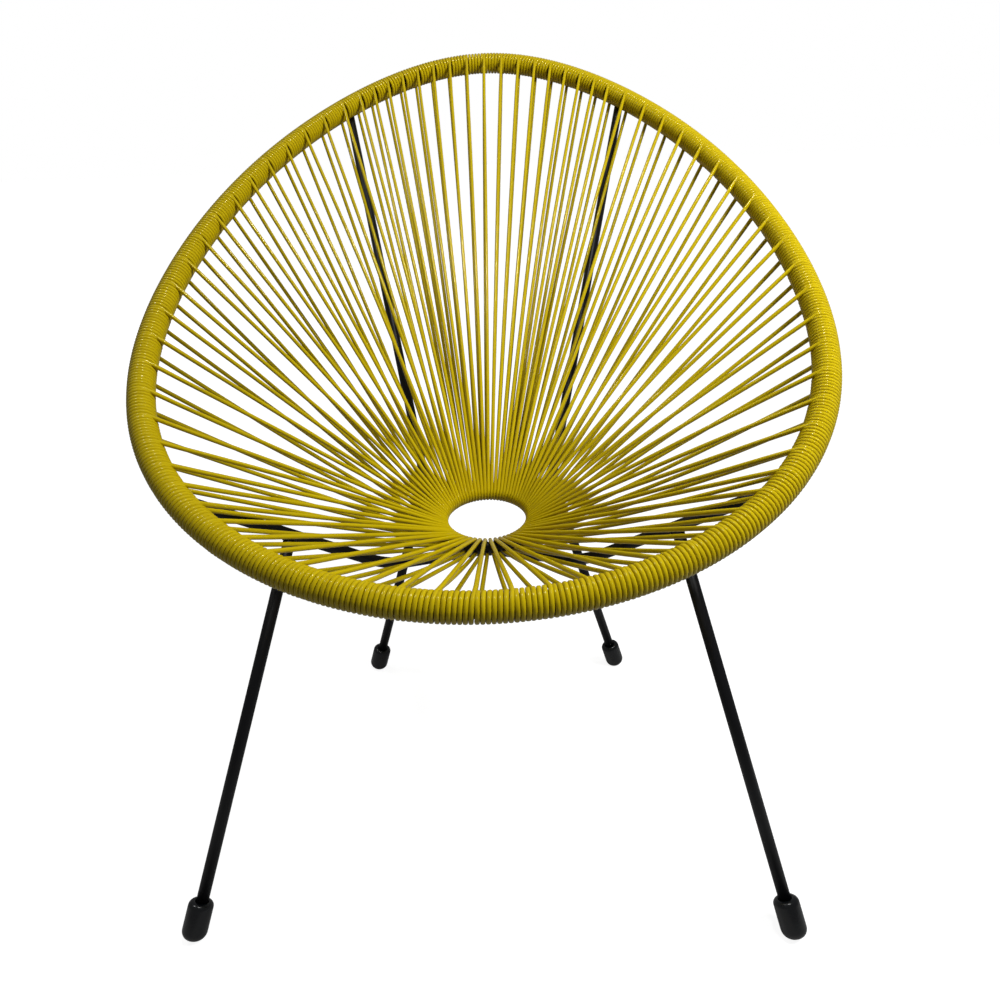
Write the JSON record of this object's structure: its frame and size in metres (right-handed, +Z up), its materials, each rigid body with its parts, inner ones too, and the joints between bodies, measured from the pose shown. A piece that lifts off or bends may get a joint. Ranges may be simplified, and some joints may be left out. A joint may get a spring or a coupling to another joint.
{
  "type": "acapulco chair",
  "caption": "Low patio chair: an egg-shaped steel hoop wound with plastic cord, strung to a small ring in the seat, on two crossing rods and four legs with rubber caps.",
  "frame": {"origin": "on the floor under the middle of the chair's overall width and depth", "axes": "+X to the right of a person who faces the chair, +Y towards the chair's back, +Z up"},
  "size_m": [0.7328, 0.8904, 0.8196],
  "materials": {
    "powder_coated_steel": "satin black powder coat",
    "foot_rubber": "moulded black rubber",
    "seat_cord": "smooth glossy mustard yellow cord"
  },
  "bodies": {
    "root": {"rim_hoop": "powder_coated_steel", "center_ring": "powder_coated_steel", "crossing_rod_right": "powder_coated_steel", "crossing_rod_left_rear": "powder_coated_steel", "crossing_rod_left_front": "powder_coated_steel", "leg_front_left": "powder_coated_steel", "leg_front_right": "powder_coated_steel", "leg_rear_left": "powder_coated_steel", "leg_rear_right": "powder_coated_steel", "foot_cap_front_left": "foot_rubber", "foot_cap_front_right": "foot_rubber", "foot_cap_rear_left": "foot_rubber", "foot_cap_rear_right": "foot_rubber", "cord_front_1": "seat_cord", "cord_front_2": "seat_cord", "cord_front_3": "seat_cord", "cord_front_4": "seat_cord", "cord_front_5": "seat_cord", "cord_front_6": "seat_cord", "cord_front_7": "seat_cord", "cord_right_1": "seat_cord", "cord_right_2": "seat_cord", "cord_right_3": "seat_cord", "cord_right_4": "seat_cord", "cord_right_5": "seat_cord", "cord_right_6": "seat_cord", "cord_top_1": "seat_cord", "cord_top_2": "seat_cord", "cord_top_3": "seat_cord", "cord_top_4": "seat_cord", "cord_top_5": "seat_cord", "cord_top_6": "seat_cord", "cord_left_1": "seat_cord", "cord_left_2": "seat_cord", "cord_left_3": "seat_cord", "cord_left_4": "seat_cord", "cord_left_5": "seat_cord", "cord_left_6": "seat_cord"}
  },
  "joints": []
}
